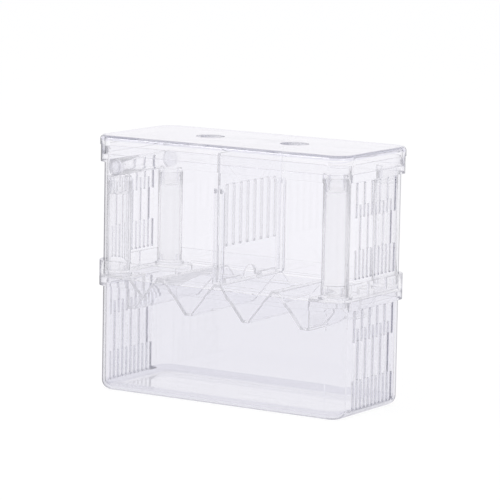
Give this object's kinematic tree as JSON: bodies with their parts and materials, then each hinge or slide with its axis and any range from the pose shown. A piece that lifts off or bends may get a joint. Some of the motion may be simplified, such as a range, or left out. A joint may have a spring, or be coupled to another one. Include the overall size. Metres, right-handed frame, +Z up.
{
  "type": "fish breeding box",
  "caption": "Clear double-deck fish breeding box: lower tank, V-trough tray with slits, upper box with float tubes, slotted divider and lid with round holes",
  "frame": {"origin": "middle of the flat underside of the lower box", "axes": "X along the long side, Y along the short side with the front at minus Y, Z up"},
  "size_m": [0.196, 0.089, 0.1727],
  "materials": {
    "clear_box_plastic": "clear moulded plastic with a smooth gloss and a faint blue tint",
    "clear_tray_plastic": "clear moulded plastic, smooth gloss",
    "clear_divider_plastic": "clear moulded plastic, smooth gloss",
    "clear_lid_plastic": "clear moulded plastic, smooth gloss",
    "clear_tube_plastic": "clear extruded tube with a smooth gloss",
    "clear_plug_plastic": "clear moulded plastic, smooth gloss"
  },
  "bodies": {
    "base": {"lower_box": "clear_box_plastic"},
    "tray": {"v_tray": "clear_tray_plastic"},
    "upper": {"upper_box": "clear_box_plastic", "float_tube_front_left": "clear_tube_plastic", "float_tube_front_right": "clear_tube_plastic", "float_tube_back_left": "clear_tube_plastic", "float_tube_back_right": "clear_tube_plastic", "float_plug_front_left": "clear_plug_plastic", "float_plug_front_right": "clear_plug_plastic", "float_plug_back_left": "clear_plug_plastic", "float_plug_back_right": "clear_plug_plastic", "float_foot_front_left": "clear_plug_plastic", "float_foot_front_right": "clear_plug_plastic", "float_foot_back_left": "clear_plug_plastic", "float_foot_back_right": "clear_plug_plastic", "cross_float_left": "clear_tube_plastic", "cross_cap_left_front": "clear_plug_plastic", "cross_cap_left_back": "clear_plug_plastic"},
    "divider_body": {"divider": "clear_divider_plastic"},
    "lid_body": {"lid": "clear_lid_plastic"}
  },
  "joints": [
    {"name": "tray_lift", "type": "slide", "parent": "base", "child": "tray", "axis": [0, 0, 1], "range_m": [0, 0.03]},
    {"name": "box_lift", "type": "slide", "parent": "tray", "child": "upper", "axis": [0, 0, 1], "range_m": [0, 0.02]},
    {"name": "divider_lift", "type": "slide", "parent": "upper", "child": "divider_body", "axis": [0, 0, 1], "range_m": [0, 0.09]},
    {"name": "lid_lift", "type": "slide", "parent": "divider_body", "child": "lid_body", "axis": [0, 0, 1], "range_m": [0, 0.03]}
  ]
}
